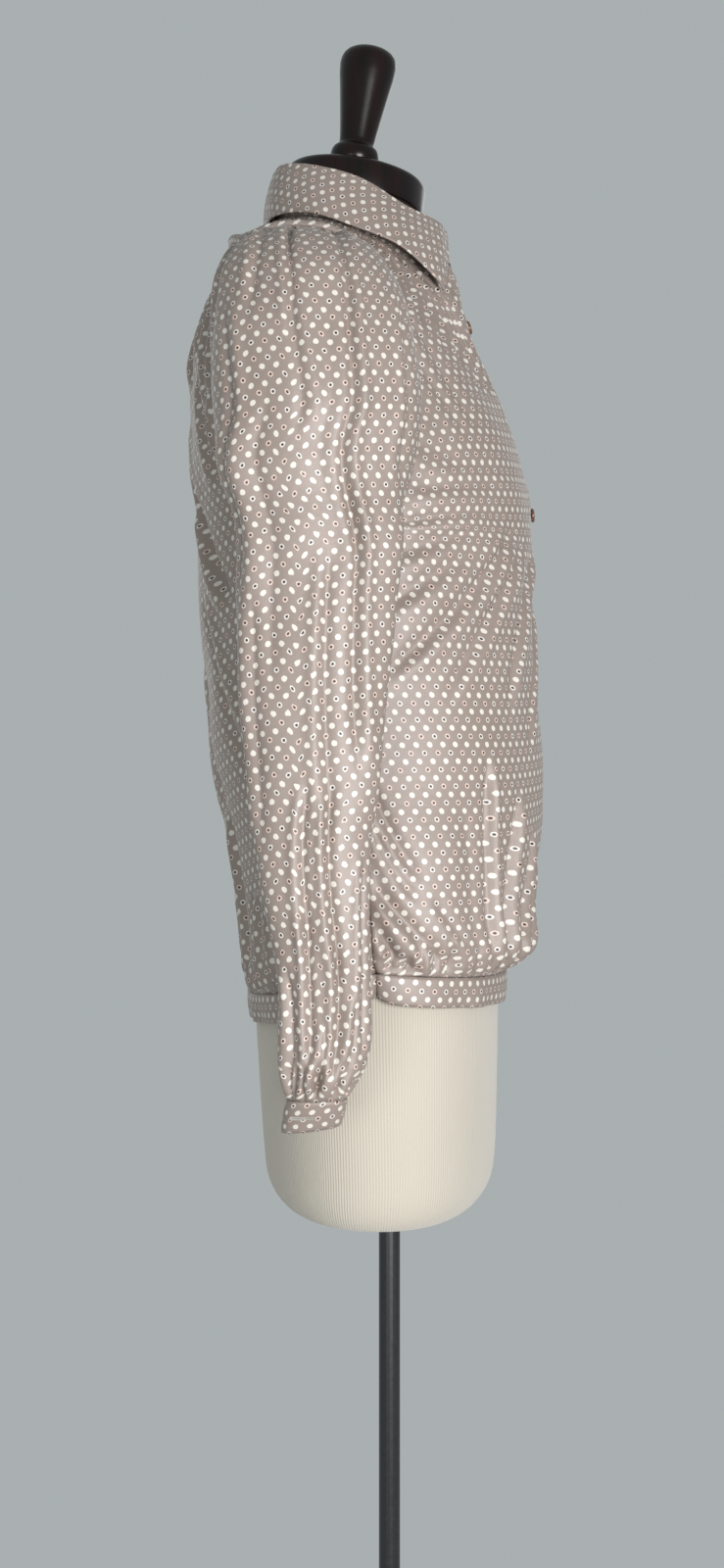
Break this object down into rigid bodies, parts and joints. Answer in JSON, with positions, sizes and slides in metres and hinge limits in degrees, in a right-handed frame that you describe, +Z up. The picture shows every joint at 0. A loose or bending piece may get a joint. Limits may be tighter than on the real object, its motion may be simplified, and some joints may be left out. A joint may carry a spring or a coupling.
{
  "type": "blouse on a dress form",
  "caption": "Blouson blouse with pointed collar, full cuffed sleeves, buttoned front and hem band, worn on a limbless dress form on a pole stand.",
  "frame": {"origin": "centre of the round base's underside, on the pole's axis, at floor level", "axes": "+Z up along the pole, +X towards the front of the blouse, -Y towards the wearer's right side"},
  "size_m": [0.33, 0.4836, 1.5933],
  "materials": {
    "satin": "dotted satin",
    "button": "gloss",
    "jersey": "fine ribbed jersey",
    "mahogany": "dark gloss varnish",
    "black_metal": "satin black"
  },
  "bodies": {
    "root": {"front_right": "satin", "front_left": "satin", "back": "satin", "yoke": "satin", "collar_stand": "satin", "collar_fall": "satin", "sleeve_right": "satin", "sleeve_left": "satin", "sleeve_right_under": "satin", "sleeve_left_under": "satin", "cuff_right": "satin", "cuff_left": "satin", "hem_band_right": "satin", "hem_band_left": "satin", "hem_band_back": "satin", "button_front_1": "button", "button_front_2": "button", "button_front_3": "button", "button_front_4": "button", "button_front_5": "button", "button_front_6": "button", "button_front_7": "button", "button_cuff_right": "button", "button_cuff_left": "button", "form_body": "jersey", "neck_cap": "mahogany", "finial": "mahogany", "pole": "black_metal", "stand_base": "black_metal"}
  },
  "joints": []
}
